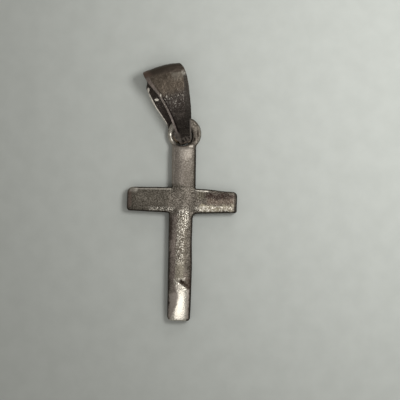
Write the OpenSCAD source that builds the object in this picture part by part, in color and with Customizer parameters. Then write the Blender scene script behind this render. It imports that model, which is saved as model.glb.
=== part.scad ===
// A small cast silver cross pendant, lying on its flat back, with its bail.
//
// The cross is one casting: a stem and two arms with a crowned face, and an eye at the
// head of the stem, whose hole is drilled a little off its middle. The bail is one
// tapered strip bent into an oval loop that passes through the eye. It lies on its back
// leaf, turned to the left of the stem and skewed by wear, so that its left mouth shows.
//
// Units are millimetres. The origin is the middle of the crossing on the flat back,
// +Y runs up the stem to the eye, and +Z is the side that shows.

/* [Arms] */
// Width of the cross from the end of one arm to the end of the other
arm_span = 13; // [10.5:0.1:16]
// Height of both arms where they meet the stem
arm_root_h = 3.1; // [2.6:0.05:3.6]
// Height of the left arm at its end
left_end_h = 2.8; // [2.2:0.05:3.4]
// Height of the right arm at its end, which is filed a little thinner
right_end_h = 2.56; // [2:0.05:3.4]
// How far the right arm's root is cast below the left one's
right_root_shift = 0.08; // [0:0.01:0.2]
// Radius of the corners at the ends of the arms
arm_corner_r = 0.45; // [0.2:0.05:0.8]

/* [Stem] */
// Length of the stem from the crossing to the foot
foot_reach = 14.2; // [12:0.1:20]
// Width of the stem just below the arms
stem_w = 2.83; // [2.4:0.01:3.4]
// How far the stem is cast to the left just below the arms
stem_shift = 0.13; // [0:0.01:0.3]
// Width of the stem at its foot
foot_w = 2.62; // [2.2:0.01:3.2]
// Radius of the corners at the foot
foot_corner_r = 0.4; // [0.2:0.05:0.8]
// Width of the stem above the arms
neck_w = 2.7; // [2.4:0.01:3.2]
// How far the stem is cast to the right above the arms
neck_shift = 0.08; // [0:0.01:0.2]
// Radius of the fillet in the corner below the right arm
right_fillet_r = 0.5; // [0.2:0.05:0.9]
// Radius of the fillet in the corner below the left arm
left_fillet_r = 0.2; // [0.1:0.05:0.9]

/* [Face] */
// Thickness of the cross along the middle of its face
thick = 1.9; // [1.8:0.05:2.6]
// How much lower the face is along its edges than along its middle
crown_drop = 0.3; // [0.1:0.05:0.5]
// How much lower the face is at the very foot
foot_drop = 0.45; // [0.1:0.05:0.8]
// Length over which the face falls away to the foot
foot_fall = 3.9; // [2:0.1:6]
// How much lower the face is at the end of an arm
end_drop = 0.12; // [0.05:0.01:0.4]
// Length over which the face falls away to the end of an arm
end_fall = 1.1; // [0.6:0.1:2]
// Distance from the crossing down to the casting pit in the face
pit_down = 9.75; // [8:0.05:11]
// Distance from the middle of the stem to the pit
pit_aside = 0.2; // [-0.6:0.05:0.6]
// Width of the pit at its mouth
pit_w = 0.5; // [0.3:0.05:0.8]
// Depth of the pit
pit_depth = 0.12; // [0.05:0.01:0.25]

/* [Eye] */
// Distance from the crossing up to the middle of the eye
eye_reach = 7.85; // [6:0.05:10]
// Outer diameter of the eye
eye_d = 3.95; // [3.5:0.05:5]
// Diameter of the hole in the eye
eye_hole_d = 2.4; // [2.3:0.05:2.8]
// How far the hole is drilled below the eye's middle
hole_drop = 0.28; // [0:0.01:0.4]
// How far the hole is drilled to the left of the eye's middle
hole_shift = 0.17; // [0:0.01:0.3]
// Thickness of the eye
eye_t = 0.7; // [0.5:0.02:0.8]
// Radius of the eye's rounded outer edge
eye_edge_r = 0.25; // [0.1:0.01:0.25]
// How far the stem's head laps past the lowest point of the hole
head_lap = 0.1; // [0.05:0.01:0.3]

/* [Bail] */
// Thickness of the bail's strip
strip_t = 0.4; // [0.3:0.02:0.5]
// Width of the strip at the fold, where a chain runs through
fold_w = 4.45; // [3.6:0.05:6]
// Width of the rounded tip that hangs in the eye
tip_w = 1.72; // [1.4:0.02:1.8]
// Outer radius of the fold
fold_r = 1.05; // [0.8:0.05:1.6]
// Outer radius of the bend in the eye
bend_r = 0.88; // [0.8:0.01:0.95]
// Radius of the bulging leaves between the bend and the fold
leaf_r = 10.5; // [9:0.25:14]
// Distance between the middles of the bend and the fold
loop_l = 7.55; // [6.5:0.05:8.5]
// Turn of the bail to the left of the stem, in degrees
bail_turn = 20; // [10:0.5:25]
// Skew of the leaves across the loop, in degrees
bail_skew = 15; // [6:0.5:18]
// How far the middle of the bend lies below the middle of the hole
bend_down = 0.08; // [0:0.01:0.1]
// Clearance under the back leaf, and between it and the underside of the eye
lie_gap = 0.05; // [0.03:0.01:0.08]

/* [Hidden] */
$fn = 96;

// Heights of the eye, which sits at the middle of the cross's thickness
eye_z = thick / 2;
eye_under = eye_z - eye_t / 2;
hole_r = eye_hole_d / 2;
hole_y = eye_reach - hole_drop;

// A length past every edge of the cross, for the shapes that cut it
beyond = foot_reach + arm_span + eye_reach;

// Radius of an arc that falls by drop over a length run from its flat start
function fall_r(run, drop) = (run * run + drop * drop) / (2 * drop);

// The loop seen from its side: the leaves' arcs touch the bend's and the fold's circles
// from outside, and their centres lie across the loop from them
leaf_y = (loop_l * loop_l + (fold_r - bend_r) * (2 * leaf_r - fold_r - bend_r)) / (2 * loop_l);
leaf_off = sqrt(pow(leaf_r - bend_r, 2) - leaf_y * leaf_y);
bend_slope = leaf_y / (leaf_r - bend_r);
fold_slope = (loop_l - leaf_y) / (leaf_r - fold_r);
side_lap = 0.02;

// The back leaf lies on the surface at one line, and passes under the eye where its
// left edge crosses the rim of the hole, which sets how far the loop is tipped up
left_edge = tip_w / 2 + bend_r * tan(bail_skew);
cross_y = sqrt(max(0, hole_r * hole_r - left_edge * left_edge));
lie_y = cross_y + sqrt(pow(leaf_r - strip_t - lie_gap, 2) - pow(leaf_r + lie_gap - eye_under, 2));
bail_tip_up = acos(lie_y / (leaf_r - bend_r)) - atan2(leaf_off, leaf_y);
bend_z = leaf_r + lie_gap - leaf_y * sin(bail_tip_up) - leaf_off * cos(bail_tip_up);

// A tapered bar of the outline that runs from the crossing up +Y, with round corners
module limb(length, root_w, root_shift, end_w, corner_r) {
    end_x = end_w / 2;
    polygon([
        [root_shift - root_w / 2, 0], [root_shift + root_w / 2, 0],
        [end_x, length - corner_r], [end_x - corner_r, length],
        [corner_r - end_x, length], [-end_x, length - corner_r]
    ]);
    for (side = [-1, 1])
        translate([side * (end_x - corner_r), length - corner_r]) circle(corner_r);
}

// The fillet's web in a corner that opens to -Y, on the side that side names
module fillet(side, corner_x, corner_y, r) {
    translate([corner_x, corner_y]) difference() {
        translate([side > 0 ? -r / 2 : -r, -r]) square(r * 3 / 2);
        translate([side * r, -r]) circle(r);
    }
}

module outline() {
    limb(hole_y - hole_r + head_lap, neck_w, neck_shift, neck_w, foot_corner_r / 2);
    rotate(180) limb(foot_reach, stem_w, stem_shift, foot_w, foot_corner_r);
    rotate(90) limb(arm_span / 2, arm_root_h, 0, left_end_h, arm_corner_r);
    rotate(-90) limb(arm_span / 2, arm_root_h, right_root_shift, right_end_h, arm_corner_r);
    fillet(1, stem_w / 2 - stem_shift, -arm_root_h / 2, right_fillet_r);
    fillet(-1, -stem_w / 2 - stem_shift, -arm_root_h / 2, left_fillet_r);
}

// A bar along Y with a crowned top, as wide as its arc allows
module crowned_bar(width, length) {
    r = fall_r(width / 2, crown_drop);
    translate([0, 0, thick - r]) rotate([90, 0, 0]) cylinder(r = r, h = length, center = true);
}

// All that lies below the face where it falls away along +Y, past the place start
module falling_face(start, run, drop) {
    r = fall_r(run, drop);
    translate([-beyond, -beyond, 0]) cube([2 * beyond, beyond + start, thick]);
    translate([0, start, thick - r]) rotate([0, 90, 0]) cylinder(r = r, h = 2 * beyond, center = true);
}

module casting() {
    intersection() {
        linear_extrude(thick) outline();
        union() {
            crowned_bar(stem_w, 2 * beyond);
            rotate(90) crowned_bar(arm_root_h, 2 * beyond);
        }
        rotate(180) falling_face(foot_reach - foot_fall, foot_fall, foot_drop);
        for (side = [-1, 1])
            rotate(side * 90) falling_face(arm_span / 2 - end_fall, end_fall, end_drop);
    }
}

// Half the section of the eye before its hole is drilled, with a round outer edge
module eye_section() {
    side_x = eye_d / 2 - eye_edge_r;
    side_z = eye_t / 2 - eye_edge_r;
    translate([0, -eye_t / 2]) square([side_x, eye_t]);
    translate([0, -side_z]) square([eye_d / 2, 2 * side_z]);
    for (side = [-1, 1]) translate([side_x, side * side_z]) circle(eye_edge_r);
}

module pit() {
    r = fall_r(pit_w / 2, pit_depth);
    translate([pit_aside, -pit_down, thick - pit_depth + r]) sphere(r);
}

module cross() {
    color("dimgray") difference() {
        union() {
            casting();
            translate([0, eye_reach, eye_z]) rotate_extrude() eye_section();
        }
        translate([-hole_shift, hole_y, -thick]) cylinder(d = eye_hole_d, h = 3 * thick);
        pit();
    }
}

// The loop's side view, drawn with the bend at the origin and the fold along +X, and
// taken in by inset on all sides
module loop_shape(inset) {
    bend_touch = -(bend_r - inset) * bend_slope;
    fold_touch = loop_l + (fold_r - inset) * fold_slope;
    circle(bend_r - inset);
    translate([loop_l, 0]) circle(fold_r - inset);
    intersection() {
        translate([leaf_y, -leaf_off]) circle(leaf_r - inset, $fn = 240);
        translate([leaf_y, leaf_off]) circle(leaf_r - inset, $fn = 240);
        translate([bend_touch, -leaf_r]) square([fold_touch - bend_touch, 2 * leaf_r]);
    }
}

// The strip's outline from the front: a round tip that widens evenly to the fold. Its
// sides start a hair inside the round tip, and it runs on past the fold
module strip_outline() {
    end_y = loop_l + fold_r;
    tip_x = tip_w / 2 - side_lap;
    circle(d = tip_w);
    polygon([[-tip_x, 0], [tip_x, 0], [fold_w / 2, end_y], [fold_w / 2, end_y + fold_r],
             [-fold_w / 2, end_y + fold_r], [-fold_w / 2, end_y]]);
}

module bail() {
    color("darkslategray")
    translate([-hole_shift, hole_y - bend_down, bend_z])
    rotate([bail_tip_up, 0, bail_turn])
    intersection() {
        rotate([90, 0, 90]) linear_extrude(2 * fold_w, center = true) difference() {
            loop_shape(0);
            loop_shape(strip_t);
        }
        rotate([0, bail_skew, 0]) linear_extrude(4 * loop_l, center = true) strip_outline();
    }
}

cross();
bail();
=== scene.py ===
# %% [markdown]
# # A small cast silver cross pendant
#
# The pendant lies on its flat back on a pale surface and is seen from straight above. It
# has two pieces: a cast cross with an eye at its head, and a bail, which is one tapered
# strip of silver bent into a loop through the eye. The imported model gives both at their
# real size and place, and this script gives them their worn, grainy, tarnished look.

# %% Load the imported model
import math

import bmesh
import bpy
import numpy as np
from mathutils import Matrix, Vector
from mathutils.kdtree import KDTree


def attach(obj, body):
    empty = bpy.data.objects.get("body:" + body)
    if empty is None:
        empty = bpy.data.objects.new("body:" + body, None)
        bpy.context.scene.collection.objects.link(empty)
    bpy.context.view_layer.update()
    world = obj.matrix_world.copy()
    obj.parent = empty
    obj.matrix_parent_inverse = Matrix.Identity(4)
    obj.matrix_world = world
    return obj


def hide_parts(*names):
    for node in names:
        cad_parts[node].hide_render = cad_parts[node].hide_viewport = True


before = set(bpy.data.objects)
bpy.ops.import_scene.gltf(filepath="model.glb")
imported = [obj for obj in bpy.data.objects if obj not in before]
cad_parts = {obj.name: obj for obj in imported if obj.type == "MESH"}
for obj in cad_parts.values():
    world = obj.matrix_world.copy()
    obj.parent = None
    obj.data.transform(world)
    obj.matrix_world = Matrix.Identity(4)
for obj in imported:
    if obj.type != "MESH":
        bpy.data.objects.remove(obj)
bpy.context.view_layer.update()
MM = 0.001
print("the model's nodes:", sorted(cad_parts))

# %% [markdown]
# ## The camera
#
# The picture is taken from straight above, with the cross a little turned in it. The
# camera's height hardly shows on a thing this flat, so it is a plain 250 millimetres,
# and the lens follows from how wide the picture is on the object.

# %% Place the camera
PICTURE_WIDTH = 47.2
PICTURE_MIDDLE = (2.09, 0.11)
PICTURE_TURN = math.radians(1.95)
CAMERA_HEIGHT = 250
FACE_HEIGHT = 1

bpy.ops.object.camera_add(
    location=(PICTURE_MIDDLE[0] * MM, PICTURE_MIDDLE[1] * MM, CAMERA_HEIGHT * MM),
    rotation=(0, 0, PICTURE_TURN),
)
camera = bpy.context.object
camera.data.lens = camera.data.sensor_width * (CAMERA_HEIGHT - FACE_HEIGHT) / PICTURE_WIDTH
camera.data.clip_start = 10 * MM
bpy.context.scene.camera = camera
bpy.context.scene.view_settings.view_transform = "Standard"
print("lens in millimetres:", round(camera.data.lens, 1))

# %% [markdown]
# ## Ways of working
#
# Blender's tools weld and bevel by absolute distances, which are too coarse for a thing of
# a few millimetres in metres. So each piece is modelled with one unit to the millimetre,
# and is scaled down when it is finished. An operator acts on all that is selected, so each
# step first selects its own piece or faces by their place.

# %% Select, pick, apply and finish
def solo(piece):
    """Makes the piece the only one selected."""
    bpy.ops.object.select_all(action="DESELECT")
    piece.select_set(True)
    bpy.context.view_layer.objects.active = piece


def pick(kind, test):
    """Selects the vertices, edges or faces whose middle and own data pass the test."""
    shape = bmesh.from_edit_mesh(bpy.context.edit_object.data)
    bpy.ops.mesh.select_mode(type=kind)
    bpy.ops.mesh.select_all(action="DESELECT")
    for part in {"VERT": shape.verts, "EDGE": shape.edges, "FACE": shape.faces}[kind]:
        corners = [part] if kind == "VERT" else list(part.verts)
        middle = sum((corner.co for corner in corners), Vector()) / len(corners)
        part.select_set(bool(test(middle, part)))
    shape.select_flush_mode()
    bmesh.update_edit_mesh(bpy.context.edit_object.data)


def apply_modifier(piece, kind, **settings):
    """Adds one modifier to the piece and applies it."""
    solo(piece)
    modifier = piece.modifiers.new(kind.title(), kind)
    for name, value in settings.items():
        setattr(modifier, name, value)
    bpy.ops.object.modifier_apply(modifier=modifier.name)


def places(piece):
    """The places of the piece's vertices, one row each."""
    rows = np.empty(len(piece.data.vertices) * 3, np.float32)
    piece.data.vertices.foreach_get("co", rows)
    return rows.reshape(-1, 3).astype(float)


def move_to(piece, rows):
    """Moves each vertex of the piece to its row."""
    piece.data.vertices.foreach_set("co", rows.astype(np.float32).ravel())
    piece.data.update()


def directions(piece):
    """The way each vertex of the piece faces, one row each."""
    rows = np.empty(len(piece.data.vertices) * 3, np.float32)
    piece.data.vertices.foreach_get("normal", rows)
    return rows.reshape(-1, 3).astype(float)


def note(piece, name, values):
    """Stores a number for each vertex, which the finish reads as an attribute."""
    attribute = piece.data.attributes.new(name, "FLOAT", "POINT")
    attribute.data.foreach_set("value", np.asarray(values, np.float32))


def weigh(piece, name, shares):
    """A vertex group that holds each vertex by its share, in twenty steps."""
    group = piece.vertex_groups.new(name=name)
    for step in range(21):
        members = np.flatnonzero(np.round(np.asarray(shares) * 20) == step)
        if len(members):
            group.add(members.tolist(), step / 20, "REPLACE")


def ease(value, start, end):
    """0 before start and 1 after end, with a smooth rise between."""
    share = np.clip((value - start) / (end - start), 0, 1)
    return share * share * (3 - 2 * share)


def finish_piece(piece, name, node, finish):
    """Scales the piece down to metres, names it and puts it in the CAD node's place."""
    solo(piece)
    piece.name = piece.data.name = name
    bpy.ops.object.shade_smooth()
    piece.scale = (MM, MM, MM)
    bpy.ops.object.transform_apply(location=True, rotation=True, scale=True)
    piece.data.materials.clear()
    piece.data.materials.append(finish)
    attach(piece, "root")
    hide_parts(node)
    triangles = sum(len(face.vertices) - 2 for face in piece.data.polygons)
    low, high = places(piece).min(0) / MM, places(piece).max(0) / MM
    print(name, "triangles:", triangles, "box:", low.round(2), high.round(2))


# %% [markdown]
# ## Nodes as arithmetic
#
# A finish is mostly sums of masks. A small class wraps a node's output, so that a sum
# written in Python adds the Math nodes that work it out, and one method adds any other
# node with its settings and the values of its sockets.

# %% A wire that can be added and multiplied
class Wire:
    """One number or colour on its way through a finish."""

    def __init__(self, finish, socket):
        self.finish = finish
        self.socket = socket

    def maths(self, operation, *values):
        sockets = dict(enumerate(values))
        return self.finish.add("Math", {"operation": operation}, sockets)

    def __add__(self, other):
        return self.maths("ADD", self, other)

    def __radd__(self, other):
        return self.maths("ADD", other, self)

    def __sub__(self, other):
        return self.maths("SUBTRACT", self, other)

    def __rsub__(self, other):
        return self.maths("SUBTRACT", other, self)

    def __mul__(self, other):
        return self.maths("MULTIPLY", self, other)

    def __rmul__(self, other):
        return self.maths("MULTIPLY", other, self)

    def __truediv__(self, other):
        return self.maths("DIVIDE", self, other)

    def clamp(self):
        return self.finish.add("Clamp", {}, {0: self})


class Finish:
    """A material, with the one method that adds a node to it."""

    def __init__(self, name):
        self.material = bpy.data.materials.new(name)
        self.material.use_nodes = True
        self.tree = self.material.node_tree
        self.tree.nodes.clear()

    def add(self, kind, settings, sockets, output=0):
        node = self.tree.nodes.new("ShaderNode" + kind)
        for name, value in settings.items():
            setattr(node, name, value)
        for name, value in sockets.items():
            if isinstance(value, Wire):
                self.tree.links.new(value.socket, node.inputs[name])
            else:
                node.inputs[name].default_value = value
        return Wire(self, node.outputs[output]) if node.outputs else node

    def rise(self, value, start, end):
        """0 before start and 1 after end, with a smooth rise between."""
        ends = {"From Min": start, "From Max": end}
        how = {"interpolation_type": "SMOOTHSTEP"}
        return self.add("MapRange", how, {"Value": value, **ends})

    def at_least(self, value, least):
        return self.add("Math", {"operation": "MAXIMUM"}, {0: value, 1: least})

    def within(self, value, low, high, soft):
        """1 between low and high, and 0 past soft edges on both sides."""
        above = self.rise(value, low - soft, low + soft)
        return above * self.rise(value, high + soft, high - soft)

    def noise(self, place, size, detail):
        """Soft noise from 0 to 1, whose lumps are about size across."""
        return self.add("TexNoise", {}, {"Vector": place, "Scale": 1 / size, "Detail": detail})

    def mix(self, share, first, second):
        """The first colour where share is 0, and the second where it is 1."""
        colours = {6: (*first, 1) if isinstance(first, tuple) else first}
        colours[7] = (*second, 1) if isinstance(second, tuple) else second
        return self.add("Mix", {"data_type": "RGBA"}, {0: share, **colours}, 2)

    def blend(self, share, first, second):
        """The first number where share is 0, and the second where it is 1."""
        return self.add("Mix", {"data_type": "FLOAT"}, {0: share, 2: first, 3: second})

    def place(self):
        """The place on the object, in millimetres."""
        spot = self.add("TexCoord", {}, {}, "Object")
        return self.add("VectorMath", {"operation": "SCALE"}, {0: spot, "Scale": 1 / MM})

    def axis(self, place, letter):
        return self.add("SeparateXYZ", {}, {0: place}, letter)

    def attribute(self, name):
        """A number that was noted for each vertex of the piece."""
        return self.add("Attribute", {"attribute_name": name}, {}, "Fac")

    def grainy(self, grains):
        """A bump as fine as the grains, which ends in the shader's Normal."""
        heights = {"Strength": 0.5, "Distance": 0.02 * MM, "Height": grains}
        return self.add("Bump", {}, heights)

    def surface(self, **sockets):
        """Ends the finish in a Principled shader."""
        sockets = {name.replace("_", " "): value for name, value in sockets.items()}
        shader = self.add("BsdfPrincipled", {}, sockets)
        self.add("OutputMaterial", {}, {"Surface": shader})
        return self.material


def tone(red, green, blue):
    """A colour as it is seen, from 0 to 255, turned into light."""
    def light(value):
        value = value / 255
        return value / 12.92 if value < 0.04045 else ((value + 0.055) / 1.055) ** 2.4
    return (light(red), light(green), light(blue))


# %% [markdown]
# ## The surface and the light
#
# The pendant lies on a pale, matt surface that is faintly mottled. A key light at the
# upper right gives the shadow on the left of everything. It is wide for its distance, and
# the whole sky adds a soft light of its own, so the shadow is dark only close to the
# metal. The key light is aimed past the pendant, because the surface is lightest at the
# upper right. A panel above the foot is what the polished foot mirrors, and a far window
# at the upper right lights the thin bright lines that are painted as highlights along the
# upper edges of the arms.

# %% Lay the surface
FLOOR_SIZE = 600
FLOOR_TONE = (198, 200, 194)
FLOOR_SPOT_TONE = (192, 194, 188)
FLOOR_SPOT_SIZE = 2.2

bpy.ops.object.select_all(action="DESELECT")
bpy.ops.mesh.primitive_plane_add(size=FLOOR_SIZE * MM)
floor = bpy.context.object
floor.name = "pale_surface"
floor_finish = Finish("pale_surface")
floor_place = floor_finish.place()
floor_spots = floor_finish.noise(floor_place, FLOOR_SPOT_SIZE, detail=3)
floor.data.materials.append(floor_finish.surface(
    Base_Color=floor_finish.mix(
        floor_finish.rise(floor_spots, 0.2, 0.8), tone(*FLOOR_TONE), tone(*FLOOR_SPOT_TONE)
    ),
    Roughness=0.7,
))

# %% Hang the lights
KEY_PLACE, KEY_TARGET = (38, 22, 92), (48.5, 27.5, 0)
KEY_POWER = 0.264
KEY_COLOUR = (0.98, 1.0, 1.0)
KEY_RADIUS = 16
KEY_CONE = math.radians(106)
PANELS = [
    # name, the way it hangs from the pendant, distance, width, depth, power
    ("foot_light", (0.06, -0.33, 1), 230, 150, 112, 0.068),
    ("window_light", (0.25, 0.9, 0.5), 300, 200, 90, 0.10),
]
SKY_COLOUR, SKY_STRENGTH = (1.0, 1.0, 0.96, 1), 0.25


def aim(lamp, place, target):
    """Puts the lamp at its place and turns it to the target, both in millimetres."""
    lamp.location = Vector(place) * MM
    lamp.rotation_euler = (Vector(place) - Vector(target)).to_track_quat("Z", "Y").to_euler()


def hang_panel(name, toward, distance, width, depth, power):
    """A flat soft light that looks back at the pendant from that way."""
    bpy.ops.object.light_add(type="AREA")
    panel = bpy.context.object
    panel.name = name
    panel.data.shape = "RECTANGLE"
    panel.data.size = width * MM
    panel.data.size_y = depth * MM
    panel.data.energy = power
    aim(panel, Vector(toward).normalized() * distance, (0, 0, 0))


bpy.ops.object.light_add(type="SPOT")
key_light = bpy.context.object
key_light.name = "key_light"
key_light.data.energy = KEY_POWER
key_light.data.color = KEY_COLOUR
key_light.data.shadow_soft_size = KEY_RADIUS * MM
key_light.data.spot_size = KEY_CONE
key_light.data.spot_blend = 1
aim(key_light, KEY_PLACE, KEY_TARGET)

for panel_settings in PANELS:
    hang_panel(*panel_settings)

sky = bpy.data.worlds.new("room")
bpy.context.scene.world = sky
sky.use_nodes = True
background = sky.node_tree.nodes["Background"]
background.inputs["Color"].default_value = SKY_COLOUR
background.inputs["Strength"].default_value = SKY_STRENGTH

# %% [markdown]
# ## The cast cross
#
# On the real pendant, stem, arms and eye are one casting, with a softly crowned face. It
# could be carved from a subdivided block, but its outline is easier to trust as rough bars
# fused into one plate. So four tapered bars and a disc are joined, the eye is drilled, and
# the plate is remeshed into even little squares, which the later steps push into shape.

# %% Sizes of the cross, in millimetres
THICK = 1.9
ARM_REACH = 6.5
ARM_ROOT = 3.1
FOOT_REACH = 14.2
STEM_WIDTH, STEM_SHIFT = 2.83, 0.13
NECK_WIDTH, NECK_SHIFT = 2.84, 0.14
EYE_PLACE = (0, 7.85)
EYE_WIDTH, EYE_THICK = 3.95, 0.7
HOLE_PLACE = (-0.17, 7.57)
HOLE_WIDTH = 2.4
HEAD_LAP = 0.1
ARM_FILED_OFF = 0.05
BARS = [
    # heading, reach, width and shift at the crossing, width and two corner radii at the end
    (180, FOOT_REACH, STEM_WIDTH, STEM_SHIFT, 2.62, (0.35, 0.5)),
    (0, HOLE_PLACE[1] - HOLE_WIDTH / 2 + HEAD_LAP, NECK_WIDTH, NECK_SHIFT, NECK_WIDTH, (0.2, 0.2)),
    (90, ARM_REACH, ARM_ROOT, 0, 2.8, (0.35, 0.7)),
    (-90, ARM_REACH - ARM_FILED_OFF, ARM_ROOT, 0.08, 2.56, (0.5, 0.2)),
]


# %% Cast the rough bars
def is_upright(middle):
    """True for an edge that runs from the back of the plate to its face."""
    return 0.1 < middle.z < THICK - 0.1


def rough_bar(heading, reach, root_width, root_shift, end_width, corners):
    """A tapered bar from the crossing along heading, with its two far edges rounded."""
    bpy.ops.object.select_all(action="DESELECT")
    bpy.ops.mesh.primitive_cube_add(
        size=1, location=(0, reach / 2, THICK / 2), scale=(root_width, reach, THICK)
    )
    bar = bpy.context.object
    bpy.ops.object.transform_apply(location=True, rotation=True, scale=True)
    bpy.ops.object.mode_set(mode="EDIT")
    pick("FACE", lambda middle, face: face.normal.y < -0.9)
    bpy.ops.transform.translate(value=(root_shift, 0, 0))
    pick("FACE", lambda middle, face: face.normal.y > 0.9)
    bpy.ops.transform.resize(value=(end_width / root_width, 1, 1))
    for side, corner in zip((-1, 1), corners):
        pick("EDGE", lambda middle, edge: is_upright(middle) and middle.y > reach - 0.01
             and side * middle.x > 0.9 * end_width / 2)
        bpy.ops.mesh.bevel(offset=corner, segments=8, affect="EDGES")
    bpy.ops.object.mode_set(mode="OBJECT")
    bar.rotation_euler.z = math.radians(heading)
    bpy.ops.object.transform_apply(location=True, rotation=True, scale=True)
    return bar


def fuse(piece, other, how):
    """Joins the other solid to the piece, or cuts it out, and takes the other away."""
    apply_modifier(piece, "BOOLEAN", operation=how, object=other, solver="EXACT")
    bpy.data.objects.remove(other)


cross, *other_bars = [rough_bar(*bar) for bar in BARS]
cross.name = "cast_cross"
for bar in other_bars:
    fuse(cross, bar, "UNION")
print("faces of the fused bars:", len(cross.data.polygons))

# %% Round the two inner corners below the arms
INNER_CORNERS = ((1, 0.5), (-1, 0.2))
NEAR_CORNER = 0.12

solo(cross)
bpy.ops.object.mode_set(mode="EDIT")
for side, radius in INNER_CORNERS:
    corner_x = side * STEM_WIDTH / 2 - STEM_SHIFT
    pick("EDGE", lambda middle, edge: is_upright(middle) and abs(middle.x - corner_x) < NEAR_CORNER
         and abs(middle.y + ARM_ROOT / 2) < NEAR_CORNER)
    bpy.ops.mesh.bevel(offset=radius, segments=6, affect="EDGES")
bpy.ops.object.mode_set(mode="OBJECT")
print("faces with rounded corners:", len(cross.data.polygons))


# %% Add the eye and drill it
def round_bar(width, height, place):
    """An upright cylinder with its middle at that place and at half the plate's thickness."""
    bpy.ops.mesh.primitive_cylinder_add(
        vertices=96, radius=width / 2, depth=height, location=(*place, THICK / 2)
    )
    return bpy.context.object


fuse(cross, round_bar(EYE_WIDTH, THICK, EYE_PLACE), "UNION")
fuse(cross, round_bar(HOLE_WIDTH, 3 * THICK, HOLE_PLACE), "DIFFERENCE")
print("faces with the eye:", len(cross.data.polygons))

# %% Remesh the plate into small squares
GRID = 0.064

solo(cross)
cross.data.remesh_voxel_size = GRID
bpy.ops.object.voxel_remesh()
apply_modifier(cross, "SMOOTH", factor=0.5, iterations=3)
print("faces of the even plate:", len(cross.data.polygons))

# %% Ease the eye into the neck
NECK_EASE = 60
NECK_LOW, NECK_HIGH, NECK_SIDE = (5.2, 5.7), (7.7, 7.2), (0.9, 1.2)

x, y, z = places(cross).T
weigh(cross, "neck", ease(y, *NECK_LOW) * ease(y, *NECK_HIGH) * ease(np.abs(x), *NECK_SIDE))
apply_modifier(cross, "SMOOTH", factor=0.9, iterations=NECK_EASE, vertex_group="neck", use_z=False)
print("the eased plate's box:", places(cross).min(0).round(2), places(cross).max(0).round(2))

# %% Fill the stem on its lower right, and file the top of the right arm
STEM_FULL, FULL_START, FULL_END, FULL_LOST = 0.11, (-4.5, -8), (-12, -14.2), 0.4
ARM_FILED, FILED_START = 0.11, (2.8, 5.4)
HALF_ACROSS = (0, 1.2)

plate = places(cross)
x, y, z = plate.T
full = ease(y, *FULL_START) * (1 - FULL_LOST * ease(y, *FULL_END)) * ease(x, *HALF_ACROSS)
filed = ease(x, *FILED_START) * ease(y, *HALF_ACROSS)
plate[:, 0] += STEM_FULL * full
plate[:, 1] -= ARM_FILED * filed
move_to(cross, plate)
print("most filled:", round(full.max(), 2), "most filed:", round(filed.max(), 2))

# %% [markdown]
# ## The crowned face
#
# Wear has left the face highest along the middle of each bar and low along the edges,
# with the crossing blended smooth. The foot falls away, and the eye is thinner than the
# stem, above and below. All of this is a height that follows from a vertex's place and its
# distance from the nearest wall, so each vertex slides up or down between two heights.

# %% Work out the face's height
CROWN_DROP, CROWN_BLEND = 0.3, 0.05
OFF_STEM, OFF_ARM = (1.4, 2.0), (1.3, 1.9)
FOOT_FALL, FOOT_DROP = 3.9, 0.45
END_FALL, END_DROP = 1.1, 0.12
EDGE_ROUND, FOOT_SHARP, SHARP_START = 0.2, 0.11, (-13.5, -13.8)
EYE_ROUND, EYE_START = 0.3, (5.9, 7.0)
PIT_PLACE = (0.22, -9.68)
PIT_RADIUS, PIT_DEPTH = 0.27, 0.11


def rounded(distance, radius):
    """How much an edge worn round by that radius is lowered at that distance from it."""
    inside = np.clip(radius - distance, 0, radius)
    return radius - np.sqrt(radius * radius - inside * inside)


def blended_least(first, second, blend):
    """The smaller of two drops, with a soft passage from one to the other."""
    least = np.minimum(first, second)
    both = np.exp((least - first) / blend) + np.exp((least - second) / blend)
    return least - blend * np.log(both)


def crown_drop(x, y):
    """How far the crowned face lies below its highest line."""
    stem_drop = CROWN_DROP * (x / (STEM_WIDTH / 2)) ** 2
    arm_drop = CROWN_DROP * (y / (ARM_ROOT / 2)) ** 2
    on_stem, on_arm = ease(np.abs(y), *OFF_STEM), ease(np.abs(x), *OFF_ARM)
    at_crossing = (1 - on_stem) * (1 - on_arm)
    drop = blended_least(stem_drop, arm_drop, CROWN_BLEND) + CROWN_BLEND * math.log(2) * at_crossing
    return drop * at_crossing + stem_drop * on_stem + arm_drop * on_arm * (1 - on_stem)


def face_height(x, y, distance):
    """Height of the face, from its crown, the foot, the ends, the eye, the edges and the pit."""
    foot = FOOT_DROP * np.clip((-y - FOOT_REACH + FOOT_FALL) / FOOT_FALL, 0, 1) ** 2
    ends = END_DROP * np.clip((np.abs(x) - ARM_REACH + END_FALL) / END_FALL, 0, 1) ** 2
    at_eye = ease(y, *EYE_START)
    thin = at_eye * (THICK - EYE_THICK) / 2
    worn_edge = EDGE_ROUND - FOOT_SHARP * ease(y, *SHARP_START)
    edge = rounded(distance, worn_edge) * (1 - at_eye) + rounded(distance, EYE_ROUND) * at_eye
    pit = PIT_DEPTH * (1 - ease(np.hypot(x - PIT_PLACE[0], y - PIT_PLACE[1]), 0, PIT_RADIUS))
    return THICK - crown_drop(x, y) * (1 - at_eye) - foot - ends - thin - edge - pit


# %% Work out the back's height
BACK_ROUND = 0.12


def back_height(y, distance):
    """Height of the back, which is flat but for the eye."""
    at_eye = ease(y, *EYE_START)
    edge = rounded(distance, BACK_ROUND) * (1 - at_eye) + rounded(distance, EYE_ROUND) * at_eye
    return at_eye * (THICK - EYE_THICK) / 2 + edge


# %% Press the plate into its crowned shape
WALL_TILT = 0.3


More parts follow.
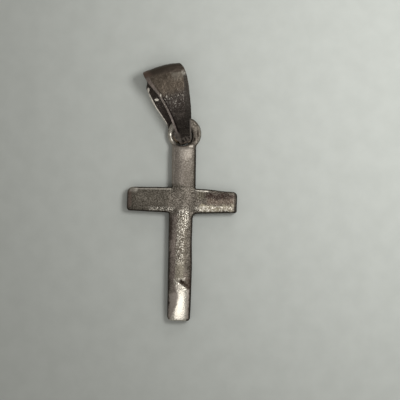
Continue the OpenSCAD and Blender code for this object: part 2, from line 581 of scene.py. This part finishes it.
def wall_distance(rows, ways):
    """How far each vertex is, seen from above, from the nearest upright wall."""
    walls = rows[np.abs(ways[:, 2]) < WALL_TILT]
    tree = KDTree(len(walls))
    for index, row in enumerate(walls):
        tree.insert((row[0], row[1], 0), index)
    tree.balance()
    return np.array([tree.find((row[0], row[1], 0))[2] for row in rows])


plate = places(cross)
x, y, z = plate.T
away = wall_distance(plate, directions(cross))
top, bottom = face_height(x, y, away), back_height(y, away)
plate[:, 2] = bottom + (top - bottom) * np.clip(z / THICK, 0, 1)
note(cross, "edge", away)
print("the face's heights:", round(top.min(), 2), "to", round(top.max(), 2))

# %% Leave the hole off round, as the bail has worn it
HOLE_LOW_IN, HOLE_LOW = 0.06, (0.1, 0.7)
HOLE_RIGHT_IN, HOLE_RIGHT = 0.13, (0.3, 0.9)
HOLE_NEAR = (HOLE_WIDTH / 2 + 0.3, HOLE_WIDTH / 2 + 0.02)

spoke = plate[:, :2] - HOLE_PLACE
spoke_length = np.hypot(*spoke.T)
low_in = HOLE_LOW_IN * ease(-spoke[:, 1], *HOLE_LOW)
right_in = HOLE_RIGHT_IN * ease(spoke[:, 0] - 0.5 * np.abs(spoke[:, 1]), *HOLE_RIGHT)
take_in = np.maximum(low_in, right_in) * ease(spoke_length, *HOLE_NEAR)
plate[:, :2] -= spoke / spoke_length[:, None] * take_in[:, None]
move_to(cross, plate)
apply_modifier(cross, "SMOOTH", factor=0.5, iterations=2)
print("height of the face at the crossing:", round(float(places(cross)[:, 2].max()), 3))

# %% [markdown]
# ## The grain of the casting
#
# The face is grainy, as metal is when it is cast in sand or plaster, and rubbed smooth at
# the foot. The grain is real relief: two layers of clouds push the surface in and out,
# held back by a vertex group where the metal is rubbed. How far each vertex moved is kept
# as an attribute, so the finish can leave tarnish in the hollows.

# %% Roughen the metal
def roughen(piece, grained, layers):
    """Pushes the surface in and out by each layer of clouds, as far as grained allows."""
    before, ways = places(piece), directions(piece)
    weigh(piece, "grain", grained)
    strongest = 0
    for name, size, depth, strength in layers:
        clouds = bpy.data.textures.new(name, "CLOUDS")
        clouds.noise_scale = size
        clouds.noise_depth = depth
        apply_modifier(piece, "DISPLACE", texture=clouds, strength=strength, mid_level=0.5,
                       texture_coords="LOCAL", vertex_group="grain")
        strongest = strongest + strength / 2
    moved = ((places(piece) - before) * ways).sum(1)
    note(piece, "relief", moved / strongest)
    print(piece.name, "relief in mm from", round(moved.min(), 3), "to", round(moved.max(), 3))


CROSS_GRAIN = [
    # name, size of the clouds, how often they are refined, strength
    ("coarse_grain", 0.40, 1, 0.035),
    ("fine_grain", 0.13, 0, 0.045),
]
GRAIN_ON_WALLS = 0.35

x, y, z = places(cross).T
faces_up = ease(directions(cross)[:, 2], 0.2, 0.7)
near_stem, near_arms = 1 - ease(np.abs(x), 0.8, 1.6), 1 - ease(np.abs(y), 0.8, 1.6)
smooth = np.maximum.reduce([
    # the foot, the neck, the left arm, the crossing and the left side of the lower stem
    0.85 * ease(-y, 9.6, 11.2),
    0.70 * ease(y, 1.2, 2.2),
    0.50 * ease(-x, 1.2, 2.2),
    0.60 * near_stem * near_arms,
    0.50 * ease(-x, 0.55, 0.95) * ease(-y, 1.4, 2.0),
])
off_back = ease(z, 0.1, 0.5)
grained = (1 - smooth) * (GRAIN_ON_WALLS + (1 - GRAIN_ON_WALLS) * faces_up) * off_back
roughen(cross, grained, CROSS_GRAIN)

# %% [markdown]
# ## The finish of the cross
#
# Old silver is brown-grey with tarnish in its hollows and bright where it is touched. The
# crossing and the left arm are the dullest, a dark stain runs from the pit to the right edge
# of the stem, and the foot is polished. Light and shade are painted in as well: the foot's
# highlight with lighter flanks beside it, glints and bright edge lines, glitter on the lower
# half of the right arm and shade on its upper half, a lighter left side of the eye and left
# edge of the upper stem, shade along the upper stem's right edge, on the walls and in the
# hole, and a shadow in the corner below the left arm.

# %% Where the cross is worn bright, and where highlights are painted
WORN_ALL_OVER = 0.08
RUBBED_AND_GLINTS = [
    # left, right, low, high, soft edge, share of bright metal between the grains
    (-0.50, 0.95, 3.6, 6.6, 0.35, 0.08),
    (-1.30, 0.00, 1.8, 6.5, 0.20, 0.06),
    # the next two rows are partly painted highlight: glitter on the lower half of the right arm and
    # along the lower edge of the left arm
    (1.50, 6.00, -1.26, -0.50, 0.30, 0.45),
    (-3.90, -0.90, -1.42, -0.85, 0.15, 0.75),
    (-1.50, 1.50, -1.4, 1.8, 0.60, 0.05),
    (-1.30, -0.50, -9.0, -1.8, 0.20, 0.12),
    # a painted glint above the pit
    (0.52, 0.74, -9.25, -9.0, 0.06, 1.00),
]
POLISHED_AND_HIGHLIGHTS = [
    # the same, for bright metal on a smooth part, mostly painted highlights on the eye, by the
    # hole, above the pit and at the right arm's end
    (-1.90, -1.42, 7.60, 7.85, 0.06, 0.85),
    (-1.75, -1.45, 6.95, 7.30, 0.10, 0.35),
    (-1.75, -1.45, 6.40, 6.60, 0.06, 0.50),
    (-0.35, 0.62, -9.42, -9.15, 0.08, 0.35),
    (0.58, 1.05, 6.28, 6.52, 0.08, 0.80),
    (5.98, 6.10, -1.2, 1.1, 0.03, 0.06),
    (-6.25, -5.30, 0.85, 1.50, 0.15, 0.30),
]
print("bright places on the cross:", len(RUBBED_AND_GLINTS) + len(POLISHED_AND_HIGHLIGHTS))

# %% Where the cross is tinted and stained, and where light and shade are painted
TINTS_AND_PAINTED_LIGHT = [
    # left, right, low, high, soft edge, share, tone
    (-6.3, -1.6, -1.3, 1.3, 0.30, 0.50, (66, 62, 53)),
    (-6.6, -6.0, -1.0, 1.0, 0.15, 0.80, (108, 93, 85)),
    (-1.35, -0.45, -9.6, -1.8, 0.15, 0.65, (132, 119, 112)),
    (-1.20, -0.65, -6.6, -4.0, 0.15, 0.50, (164, 150, 141)),
    (-0.60, 0.60, -7.4, -1.8, 0.20, 0.60, (122, 113, 100)),
    (-1.35, -0.60, 2.0, 6.2, 0.20, 0.60, (146, 137, 128)),
    # painted light: this row lightens the left edge of the upper stem
    (-1.45, -1.05, 2.0, 6.4, 0.08, 0.60, (182, 172, 162)),
    (-0.60, 1.00, 1.8, 6.6, 0.30, 0.60, (120, 111, 102)),
    (-0.75, 0.10, 1.8, 6.4, 0.20, 0.40, (146, 136, 127)),
    (0.20, 1.10, 1.8, 4.8, 0.25, 0.65, (96, 88, 80)),
    (-0.60, 0.90, 4.9, 6.5, 0.30, 0.65, (158, 149, 139)),
    (-1.10, 0.20, 5.9, 6.6, 0.20, 0.70, (158, 148, 138)),
    (-0.50, 0.45, -9.6, -7.2, 0.20, 0.75, (154, 146, 130)),
    (0.45, 0.95, -9.7, -8.4, 0.12, 0.60, (128, 116, 106)),
    # painted light: the next three rows lighten the foot's flanks beside its highlight
    (-1.20, -0.10, -14.0, -10.9, 0.15, 0.75, (176, 165, 156)),
    (-1.10, -0.10, -10.9, -9.9, 0.35, 0.60, (150, 139, 130)),
    (0.80, 1.18, -14.0, -10.4, 0.08, 0.80, (186, 174, 164)),
    (2.9, 6.1, -0.42, 0.42, 0.20, 0.50, (110, 92, 80)),
    # painted light: this row lightens the lower half of the right arm
    (2.0, 6.05, -1.22, -0.50, 0.20, 0.80, (168, 157, 136)),
    (1.8, 3.0, 0.10, 1.10, 0.25, 0.60, (88, 82, 68)),
    # tarnish and painted shade: this row darkens the upper half of the right arm
    (2.7, 6.3, 0.34, 0.96, 0.26, 0.95, (52, 39, 34)),
    # painted light: this row lightens the left side of the eye
    (-1.95, -0.90, 6.5, 9.0, 0.12, 0.75, (206, 198, 186)),
]
STAINED = [
    (0.85, 1.45, -10.6, -9.2, 0.15, 0.45, (84, 66, 58)),
    (0.06, 0.42, -9.90, -9.45, 0.07, 0.85, (56, 44, 36)),
    (-1.40, -1.05, -4.8, -1.9, 0.14, 0.70, (56, 44, 38)),
    (-1.45, -1.14, -12.8, -6.2, 0.08, 0.65, (50, 42, 38)),
]
LINED_STAINS_AND_SHADE = [
    # the same, for stains with straight sides, and two rows of painted shade
    # painted shade along the right edge of the upper stem, where its crown falls away
    (1.25, 1.7, 1.4, 6.2, 0.06, 0.75, (66, 60, 52)),
    (1.08, 1.6, -10.5, -4.6, 0.10, 0.55, (54, 42, 37)),
    (1.06, 1.5, -4.6, -1.8, 0.10, 0.50, (60, 48, 43)),
    (1.20, 1.6, -14.3, -10.5, 0.06, 0.75, (50, 38, 34)),
    (1.12, 1.34, 6.98, 7.40, 0.05, 0.85, (40, 30, 25)),
    (1.50, 1.68, 7.5, 8.2, 0.05, 0.85, (48, 40, 34)),
    # a painted shadow in the inner corner below the left arm
    (-2.35, -1.50, -1.60, -1.32, 0.05, 0.90, (28, 20, 16)),
    (-1.74, -1.54, 6.48, 6.72, 0.05, 0.80, (36, 29, 24)),
    (6.14, 6.6, -1.6, 1.6, 0.04, 0.70, (62, 56, 50)),
]
print("tints and stains on the cross:", len(TINTS_AND_PAINTED_LIGHT) + len(STAINED) + len(LINED_STAINS_AND_SHADE))


# %% Find the places on the cross
class CrossMarks:
    """The places and noises on the cross that its finish is mixed from."""

    def __init__(self, finish):
        self.finish = finish
        place = finish.place()
        self.x, self.y = finish.axis(place, "X"), finish.axis(place, "Y")
        self.relief, self.edge = finish.attribute("relief"), finish.attribute("edge")
        self.grains = finish.noise(place, 0.115, detail=1)
        self.clouds = finish.noise(place, 0.9, detail=3)
        self.blots = finish.noise(place, 0.45, detail=3)
        self.rough_x = self.x + (self.blots - 0.5) * 0.5
        self.rough_y = self.y + (self.clouds - 0.5) * 1.2

    def patch(self, left, right, low, high, soft, ragged=False):
        """1 inside a soft box on the face, whose sides may be ragged."""
        across, along = (self.rough_x, self.rough_y) if ragged else (self.x, self.y)
        in_width = self.finish.within(across, left, right, soft)
        return in_width * self.finish.within(along, low, high, soft)


# %% Find where the cross is rubbed
def rubbed_and_highlight_share(marks):
    """How much bright metal shows between the grains, with a band of painted sparkle along the
    middle of the stem.
    """
    finish, x, y = marks.finish, marks.x, marks.y
    worn = WORN_ALL_OVER
    for *box, share in RUBBED_AND_GLINTS:
        worn = marks.patch(*box) * share + worn
    left_side = finish.rise(y, -1.6, -0.9) * 0.5 - 0.56
    right_side = finish.rise(y, -3.7, -2.9) * 0.42 + 0.38
    ragged = (marks.blots - 0.5) * 0.4
    stripe = finish.rise(x - left_side + ragged, -0.1, 0.1)
    stripe = stripe * finish.rise(right_side - x + ragged, -0.1, 0.1)
    return stripe * finish.within(marks.rough_y, -7.6, -0.9, 0.4) * 0.66 + worn


def painted_highlight_lines(marks):
    """Painted highlights: bright lines along the upper edges, bright spots, and flecks on the right
    arm.
    """
    finish, x, y, edge = marks.finish, marks.x, marks.y, marks.edge
    upper_line = finish.within(edge, 0.17, 0.29, 0.05) * finish.within(y, 1.0, 1.7, 0.1)
    left_run = finish.within(x, -5.6, -1.3, 0.2) * 0.42
    right_run = finish.within(x, 1.6, 3.1, 0.4)
    eye_line = finish.within(edge, 0.05, 0.16, 0.04) * marks.patch(1.3, 2.2, 6.8, 8.8, 0.15)
    lines = upper_line * (left_run + right_run) + eye_line * 0.40
    for *box, share in POLISHED_AND_HIGHLIGHTS:
        lines = marks.patch(*box) * share + lines
    flecks = finish.rise(marks.blots + (marks.grains - 0.5) * 0.5, 0.49, 0.58)
    lower_arm = finish.within(marks.rough_x, 1.7, 5.9, 0.2) * finish.within(y, -1.20, -0.66, 0.16)
    return lines + flecks * lower_arm


# %% Find the polished foot and its painted highlight
HIGHLIGHT_WEDGE_TOP, HIGHLIGHT_WEDGE_BEND = -9.75, -11.2


def foot_polish_and_highlight(marks):
    """How polished the foot is, with a painted highlight: a bright wedge that begins at the pit,
    with ragged sides.
    """
    finish, x, y = marks.finish, marks.x, marks.y
    below_bend = finish.at_least(HIGHLIGHT_WEDGE_BEND - y, 0)
    above_bend = finish.at_least(y - HIGHLIGHT_WEDGE_BEND, 0)
    left_side = below_bend * below_bend * -0.107 - above_bend * 0.31 - 0.08
    right_side = (y - HIGHLIGHT_WEDGE_TOP) * -1.35 - 0.03
    ragged, grainy = (marks.blots - 0.5) * 0.3, (marks.grains - 0.5) * 0.3
    foot = finish.rise(x - left_side + ragged + grainy, -0.20, 0.16)
    foot = foot * finish.rise(right_side - x + (marks.blots - 0.5) * 0.5, -0.12, 0.12)
    foot = foot * finish.rise(x, 1.0, 0.84) * finish.rise(y, -14.26, -14.16)
    fading = finish.rise(y + (marks.grains - 0.5) * 3.0, -11.2, -10.2)
    return (foot * (1 - fading * 0.45)).clamp()


# %% Find the stains, the walls with their painted shade, and the hole's painted shade
STREAK_MIDDLE, STREAK_WAY = (0.6, -9.86), (0.62, 0.78)
STREAK_SHARE, STREAK_TONE = 0.92, (62, 49, 41)
HOLE_WALL_STARTS, HOLE_WALL_ENDS = 1.16, 1.24


def stain_masks(marks):
    """Each stain's mask and tone, two of them painted shade, with the streak from the pit to the
    right edge last.
    """
    finish, x, y = marks.finish, marks.x, marks.y
    grains, blots = marks.grains - 0.5, marks.blots - 0.5
    stains = [(marks.patch(*box, ragged=True) * share, stain) for *box, share, stain in STAINED]
    stains += [(marks.patch(*box) * share, stain) for *box, share, stain in LINED_STAINS_AND_SHADE]
    off_x, off_y = x - STREAK_MIDDLE[0], y - STREAK_MIDDLE[1]
    off_streak = off_x * STREAK_WAY[0] + off_y * STREAK_WAY[1] + grains * 0.3 + blots * 0.5
    streak = finish.within(off_streak, -0.13, 0.19, 0.15) * finish.within(x, 0.12, 1.2, 0.10)
    streak = streak * (finish.rise(marks.blots + grains * 0.5, 0.60, 0.42) * 0.3 + 0.7)
    stains.append((streak * STREAK_SHARE, STREAK_TONE))
    return stains


def wall_tarnish_and_shade(marks):
    """Where the walls are painted dark: tarnish all round, widened into painted shade along the
    lower edges of the arms, narrowed at the foot's end, and not at the eye or the parts that are
    clean.
    """
    finish, x, y = marks.finish, marks.x, marks.y
    lower_side = finish.rise(y, -0.9, -1.2) * finish.rise(y, -1.8, -1.6)
    foot_side = finish.rise(y, -13.7, -13.9)
    wall = finish.rise(marks.edge - lower_side * 0.10 + foot_side * 0.08, 0.14, 0.04)
    clean_neck = finish.rise(y, 1.6, 2.0) * finish.rise(x, -0.9, -1.1)
    clean_corner = finish.rise(x, -5.6, -5.8) * finish.rise(y, 0.6, 0.8)
    return wall * finish.rise(y, 6.6, 6.2) * (1 - (clean_neck + clean_corner)).clamp()


def hole_shade_share(marks):
    """Where the wall of the hole is painted dark as shade, a little wider in its lower part."""
    off_x, off_y = marks.x - HOLE_PLACE[0], marks.y - HOLE_PLACE[1]
    off_hole = off_x * off_x + off_y * off_y + marks.finish.rise(off_y, -0.1, -0.7) * 0.10
    return marks.finish.rise(off_hole, HOLE_WALL_ENDS ** 2, HOLE_WALL_STARTS ** 2)


# %% Mix the cross's silver
HOLLOW_TONE, GRAIN_TONE = (76, 70, 62), (126, 117, 107)
# the bright tone serves both worn metal and the painted highlights
BRIGHT_AND_HIGHLIGHT_TONE = (234, 226, 212)
# the walls are painted dark, as tarnish and as shade
WALL_TARNISH_AND_SHADE_TONE, WALL_TARNISH_AND_SHADE_SHARE = (54, 48, 42), 0.8
# the hole's wall is painted shade
HOLE_SHADE_TONE = (42, 33, 27)
DULL_ROUGH, BRIGHT_ROUGH, FOOT_ROUGH = 0.55, 0.36, 0.20


def cross_silver():
    finish = Finish("cast_silver")
    marks = CrossMarks(finish)
    grains, clouds = marks.grains - 0.5, marks.clouds - 0.5
    foot = foot_polish_and_highlight(marks)
    high = finish.rise(marks.relief * 0.3 + grains * 2.4, -0.10, 0.40)
    bright = (rubbed_and_highlight_share(marks) * high + painted_highlight_lines(marks) + foot).clamp()
    mottle = finish.rise(clouds * 1.2 + grains * 2.0, -0.5, 0.5)
    dull = finish.mix(mottle, tone(*HOLLOW_TONE), tone(*GRAIN_TONE))
    for *box, share, tint in TINTS_AND_PAINTED_LIGHT:
        dull = finish.mix(marks.patch(*box, ragged=True) * share, dull, tone(*tint))
    for mask, stain in stain_masks(marks):
        dull = finish.mix(mask, dull, tone(*stain))
        bright = bright * (1 - mask)
    colour = finish.mix(bright, dull, tone(*BRIGHT_AND_HIGHLIGHT_TONE))
    colour = finish.mix(wall_tarnish_and_shade(marks) * WALL_TARNISH_AND_SHADE_SHARE, colour, tone(*WALL_TARNISH_AND_SHADE_TONE))
    colour = finish.mix(hole_shade_share(marks), colour, tone(*HOLE_SHADE_TONE))
    rough = finish.blend(bright, DULL_ROUGH, BRIGHT_ROUGH)
    rough = finish.blend(foot, rough, FOOT_ROUGH)
    bump = finish.grainy(marks.grains)
    return finish.surface(Base_Color=colour, Metallic=1.0, Roughness=rough, Normal=bump)


finish_piece(cross, "cast_cross", "cross", cross_silver())

# %% [markdown]
# ## The bail
#
# The real bail is a strip cut from sheet, narrow at its ends and wide in the middle, and
# bent until the ends meet inside the eye. It is made here in the same order: a flat grid,
# tapered, with its sides worn uneven, and bent to the loop's profile. Then its seam is
# welded, and it is given its thickness and round edges.

# %% Sizes of the bail, in millimetres
STRIP_THICK = 0.4
FOLD_WIDTH = 4.45
TIP_WIDTH = 1.72
FOLD_RADIUS = 1.05
BEND_RADIUS = 0.88
LEAF_RADIUS = 10.5
LOOP_LENGTH = 7.55
BEND_DOWN = 0.08
LIE_GAP = 0.05
BAIL_TURN = math.radians(20)
BAIL_SKEW = math.radians(15)

radius_gap = FOLD_RADIUS - BEND_RADIUS
radius_rest = 2 * LEAF_RADIUS - FOLD_RADIUS - BEND_RADIUS
leaf_y = (LOOP_LENGTH ** 2 + radius_gap * radius_rest) / (2 * LOOP_LENGTH)
leaf_off = math.sqrt((LEAF_RADIUS - BEND_RADIUS) ** 2 - leaf_y ** 2)
hole_radius = HOLE_WIDTH / 2
left_edge = TIP_WIDTH / 2 + BEND_RADIUS * math.tan(BAIL_SKEW)
rim_y = math.sqrt(hole_radius ** 2 - left_edge ** 2)
eye_under = (THICK - EYE_THICK) / 2
lie_y = rim_y + math.sqrt(
    (LEAF_RADIUS - STRIP_THICK - LIE_GAP) ** 2 - (LEAF_RADIUS + LIE_GAP - eye_under) ** 2
)
tip_up = math.acos(lie_y / (LEAF_RADIUS - BEND_RADIUS)) - math.atan2(leaf_off, leaf_y)
bend_z = LEAF_RADIUS + LIE_GAP - leaf_y * math.sin(tip_up) - leaf_off * math.cos(tip_up)
print("the bail is tipped up by", round(math.degrees(tip_up), 2), "degrees")
print("the middle of its bend is at a height of", round(bend_z, 3))


# %% The loop's profile
def front_profile(count):
    """Points evenly along the front half of the loop, from the bend's end to the fold's."""
    bend_angle = math.atan2(leaf_off, -leaf_y)
    fold_angle = math.atan2(leaf_off, LOOP_LENGTH - leaf_y)
    arcs = [
        ((0, 0), BEND_RADIUS, math.pi, bend_angle),
        ((leaf_y, -leaf_off), LEAF_RADIUS, bend_angle, fold_angle),
        ((LOOP_LENGTH, 0), FOLD_RADIUS, fold_angle, 0),
    ]
    lengths = [radius * (start - end) for middle, radius, start, end in arcs]
    points = []
    for run in np.linspace(0, sum(lengths), count):
        for (middle, radius, start, end), length in zip(arcs, lengths):
            if run <= length + 1e-9:
                break
            run -= length
        angle = start - run / radius
        points.append((middle[0] + radius * math.cos(angle), middle[1] + radius * math.sin(angle)))
    return np.array(points)


# %% Cut the strip
ACROSS = 44
HALF_ROUND = 130
TIP_ROUND = 0.96
TIP_STRETCH = 1.07

bpy.ops.object.select_all(action="DESELECT")
bpy.ops.mesh.primitive_grid_add(x_subdivisions=ACROSS, y_subdivisions=2 * HALF_ROUND, size=2)
bail = bpy.context.object
bail.name = "bail_strip"
strip = places(bail)
front = front_profile(HALF_ROUND + 1)
loop = np.concatenate([front, front[-2::-1] * (1, -1)])
rank = np.round((strip[:, 1] + 1) * HALF_ROUND).astype(int)
across = strip[:, 0]
along, up = loop[rank].T
share = np.clip(along, 0, None) / (LOOP_LENGTH + FOLD_RADIUS)
half_width = TIP_WIDTH / 2 + (FOLD_WIDTH - TIP_WIDTH) / 2 * share
half_width = half_width * np.sqrt(1 - (np.clip(-along, 0, None) / TIP_ROUND) ** 2)
along = along * np.where(along < 0, TIP_STRETCH, 1)
print("the strip has", len(strip), "vertices and is at most", 2 * half_width.max(), "wide")

# %% Wear its sides, which the photo shows uneven
FRONT_SLIM = (0.21, (0, 0.45), (0.66, 0.80))
FRONT_FULL = (0.13, (0.78, 0.88), (0.93, 1.0))
BACK_SLIM_LOW = (0.20, (0.05, 0.22), (0.22, 0.55))
BACK_SLIM_HIGH = (0.38, (0.75, 0.85), (1.1, 1.2))
RIGHT_SLIM = (0.17, (-0.2, -0.1), (0, 0.42))
BACK_START, BACK_FULL = 0.5, -0.3


def swell(depth, rising, falling):
    """Depth between where it rises and where it falls, as shares of the loop's length."""
    return depth * ease(share, *rising) * ease(share, *falling[::-1])


left_part, right_part = np.clip(-across, 0, 1), np.clip(across, 0, 1)
behind = ease(up, BACK_START, BACK_FULL)
front_in = swell(*FRONT_SLIM) - swell(*FRONT_FULL)
back_in = swell(*BACK_SLIM_LOW) + swell(*BACK_SLIM_HIGH)
left_in = front_in * (1 - behind) + back_in * behind
right_in = swell(*RIGHT_SLIM) * (1 - behind)
half_width = half_width - left_part * left_in - right_part * right_in
print("the left side is taken in by", left_in.min().round(2), "to", left_in.max().round(2))

# %% Bend the strip, with its fold arched and its right side bulging
FOLD_ARCH, LEFT_RAISE, RIGHT_DROP = 0.25, 0.18, 0.10
ARCH_START = 5.5
RIGHT_BULGE = 0.24
BULGE_SCALE = 12.2  # makes the highest place of share ** 4 * (1 - share) 1

arch = FOLD_ARCH * (1 - across ** 2) + LEFT_RAISE * left_part ** 2 - RIGHT_DROP * right_part ** 2
along = along + arch * ease(along, ARCH_START, LOOP_LENGTH + FOLD_RADIUS)
bulge = BULGE_SCALE * share ** 4 * np.clip(1 - share, 0, 1)
bulge = RIGHT_BULGE * bulge * right_part ** 2 * (up > 0)
sideways = (across * half_width + bulge) / math.cos(BAIL_SKEW) + up * math.tan(BAIL_SKEW)
move_to(bail, np.stack([sideways, along, up], 1))
note(bail, "across", across)
note(bail, "along", share)
note(bail, "front", up > 0)
note(bail, "left_margin", (1 + across) * half_width)
note(bail, "right_margin", (1 - across) * half_width)
print("the fold reaches", along.max().round(2), "and the bulge", bulge.max().round(2))

# %% Weld the seam, thicken the strip and round its edges
SEAM_REACH = 0.001
STRIP_EDGE = 0.11
SHARPEST = math.radians(50)

solo(bail)
bpy.ops.object.mode_set(mode="EDIT")
bpy.ops.mesh.select_all(action="SELECT")
bpy.ops.mesh.remove_doubles(threshold=SEAM_REACH)
bpy.ops.mesh.normals_make_consistent(inside=False)
bpy.ops.object.mode_set(mode="OBJECT")
apply_modifier(bail, "SOLIDIFY", thickness=STRIP_THICK, offset=-1)
apply_modifier(bail, "BEVEL", width=STRIP_EDGE, segments=3,
               limit_method="ANGLE", angle_limit=SHARPEST)
bail.location = (HOLE_PLACE[0], HOLE_PLACE[1] - BEND_DOWN, bend_z)
bail.rotation_euler = (tip_up, 0, BAIL_TURN)
bpy.ops.object.transform_apply(location=True, rotation=True, scale=True)
print("the bail's box:", places(bail).min(0).round(2), places(bail).max(0).round(2))

# %% Roughen the strip
STRIP_GRAIN = [("strip_dents", 0.5, 1, 0.03), ("strip_grain", 0.16, 0, 0.02)]

roughen(bail, np.ones(len(bail.data.vertices)), STRIP_GRAIN)

# %% [markdown]
# ## The finish of the bail
#
# The strip is nearly black with tarnish, and olive-brown below the fold. Its left edge is
# paler, with a dark groove beside it, and the fold's left corner is rubbed bright. Glints,
# a bright line along the back leaf's left edge and a spot on the right rim are painted
# highlights.

# %% Where glints are painted on the bail
PAINTED_GLINTS = [
    # how far right, how far up, half width, half height, strength
    (-4.42, 12.84, 0.14, 0.34, 1.3),
    (-3.42, 11.75, 0.30, 0.17, 1.2),
    (-2.90, 12.15, 0.10, 0.22, 0.30),
    (-2.22, 12.05, 0.08, 0.18, 0.30),
]
print("glints on the bail:", len(PAINTED_GLINTS))


# %% Find the places on the bail
class BailMarks:
    """The places, noises and noted numbers on the bail that its finish is mixed from."""

    def __init__(self, finish):
        self.finish = finish
        place = finish.place()
        self.x, self.y = finish.axis(place, "X"), finish.axis(place, "Y")
        for name in ("across", "along", "front", "relief", "left_margin", "right_margin"):
            setattr(self, name, finish.attribute(name))
        self.grains = finish.noise(place, 0.13, detail=1)
        self.blots = finish.rise(finish.noise(place, 0.26, detail=2), 0.40, 0.60)
        clouds = finish.noise(place, 0.8, detail=3) - 0.5
        self.ragged = clouds * 0.5
        self.mottled = finish.rise(clouds * 1.2 + (self.grains - 0.5) * 1.6, -0.5, 0.5)
        to_fold = self.along + self.across * 0.03 + clouds * 0.03
        self.fold = finish.rise(to_fold, 0.905, 0.92)
        off_right = self.right_margin + finish.at_least(self.along - 0.55, 0)
        self.right_strip = finish.rise(off_right, 0.64, 0.54) * self.front

    def mottle(self, first, second):
        """A colour that changes between two tones in soft spots."""
        return self.finish.mix(self.mottled, tone(*first), tone(*second))


# %% Colour the leaves and the fold
def leaf_colour(marks):
    """Black, olive below the fold, with a pale patch, a dark strip and a brown fold."""
    finish, across, along = marks.finish, marks.across, marks.along
    olive = finish.within(along, 0.66, 1.1, 0.07)
    patch = finish.rise(along + marks.ragged * 0.15, 0.76, 0.895)
    patch = patch * finish.within(across + marks.ragged, 0.32, 0.92, 0.14)
    left_corner = finish.rise(across, -0.5, -0.85)
    colour = marks.mottle((46, 41, 38), (68, 62, 57))
    colour = finish.mix(olive, colour, marks.mottle((74, 66, 57), (92, 82, 72)))
    colour = finish.mix(patch * 0.7, colour, tone(118, 111, 101))
    colour = finish.mix(marks.right_strip * 0.9, colour, tone(54, 50, 46))
    fold_colour = finish.mix(left_corner, tone(82, 73, 65), tone(114, 96, 86))
    return finish.mix(marks.fold, colour, fold_colour)


def add_left_band(marks, colour):
    """Adds the paler band along the front's left edge, and the dark groove beside it."""
    finish, along, front = marks.finish, marks.along, marks.front
    off_left = marks.left_margin - finish.at_least(along - 0.66, 0) * 0.8
    band = finish.rise(off_left, 0.27, 0.20) * front * finish.rise(along, 0.97, 0.92)
    band_colour = finish.mix(finish.rise(along, 0.74, 0.84), tone(95, 87, 81), tone(108, 97, 90))
    band_colour = finish.mix(finish.rise(along, 0.50, 0.25), band_colour, tone(146, 134, 128))
    groove = finish.within(off_left, 0.30, 0.46, 0.05) * front * finish.rise(along, 0.88, 0.80)
    groove = groove * (1 - finish.rise(along, 0.60, 0.70) * 0.5)
    colour = finish.mix(band, colour, band_colour)
    return finish.mix(groove, colour, tone(32, 27, 25))


# %% Colour the tip in the eye and the back leaf
def add_tip(marks, colour):
    """Adds the front's grey tip, which is blotted low down and has a pale rim."""
    finish, along, front = marks.finish, marks.along, marks.front
    off_x = marks.x - HOLE_PLACE[0]
    off_y = marks.y - (HOLE_PLACE[1] - BEND_DOWN)
    up_axis = off_y * math.cos(BAIL_TURN) - off_x * math.sin(BAIL_TURN)
    tip = front * finish.rise(along, 0.14, 0.06)
    low_tip = finish.rise(up_axis, 0.05, -0.3) * tip
    rim = finish.rise(marks.right_margin, 0.26, 0.16) * front * finish.rise(along, 0.26, 0.20)
    left_rim = finish.rise(marks.across, -0.50, -0.75) * tip * 0.6
    low_rim = finish.rise(up_axis, -0.66, -0.80) * tip * (1 - left_rim) * 0.8
    rim = rim + (left_rim + low_rim) * (1 - rim)
    blotted = finish.mix(marks.blots, tone(62, 56, 52), tone(128, 119, 112))
    colour = finish.mix(tip, colour, marks.mottle((58, 52, 48), (84, 77, 71)))
    colour = finish.mix(low_tip, colour, blotted)
    return finish.mix(rim * 0.9, colour, tone(146, 136, 128))


def add_back(marks, colour):
    """Adds the dull inside of the back leaf, whose end under the eye is pale and blotted."""
    finish, back = marks.finish, 1 - marks.front
    end_colour = finish.mix(marks.blots, tone(134, 126, 120), tone(186, 176, 168))
    left_edge = finish.rise(marks.left_margin, 0.22, 0.12)
    end_colour = finish.mix(left_edge, end_colour, tone(184, 160, 134))
    colour = finish.mix(back * 0.8, colour, tone(60, 54, 50))
    return finish.mix(back * finish.rise(marks.along, 0.12, 0.07), colour, end_colour)


# %% Mix the bail's silver
# the bright tone serves both the speckles of wear and the painted highlights
WEAR_AND_HIGHLIGHT_TONE, BAIL_ROUGH = (240, 232, 218), 0.45


def bail_wear_and_highlights(marks):
    """How much bright metal shows: speckles of wear, and painted highlights at the back's left
    edge, the rim and the glints.
    """
    finish, along, grains = marks.finish, marks.along, marks.grains - 0.5
    speckled = finish.within(along + marks.ragged * 0.1, 0.45, 0.66, 0.06)
    speckled = speckled * (1 - marks.right_strip) * 0.17 + 0.03
    speckles = finish.rise(marks.relief * 0.3 + grains * 2.6, 0.15, 0.6) * speckled
    back_line = finish.rise(marks.left_margin, 0.16, 0.08) * (1 - marks.front)
    back_line = back_line * finish.within(along, 0.19, 0.72, 0.05)
    rim_spot = finish.within(marks.right_margin, 0.06, 0.40, 0.08)
    rim_spot = rim_spot * finish.within(along, 0.85, 0.89, 0.035)
    bright = speckles * (1 - marks.fold) + back_line * 0.85 + rim_spot * 0.30
    for right, up, half_width, half_height, strength in PAINTED_GLINTS:
        off_x, off_y = (marks.x - right) / half_width, (marks.y - up) / half_height
        off_glint = off_x * off_x + off_y * off_y + grains * 1.5
        bright = bright + finish.rise(off_glint, 1.0, 0.4) * strength
    return bright.clamp()


def bail_silver():
    finish = Finish("blackened_silver")
    marks = BailMarks(finish)
    colour = add_left_band(marks, leaf_colour(marks))
    colour = add_back(marks, add_tip(marks, colour))
    colour = finish.mix(bail_wear_and_highlights(marks), colour, tone(*WEAR_AND_HIGHLIGHT_TONE))
    bump = finish.grainy(marks.grains)
    return finish.surface(Base_Color=colour, Metallic=1.0, Roughness=BAIL_ROUGH, Normal=bump)


finish_piece(bail, "bail_strip", "bail", bail_silver())
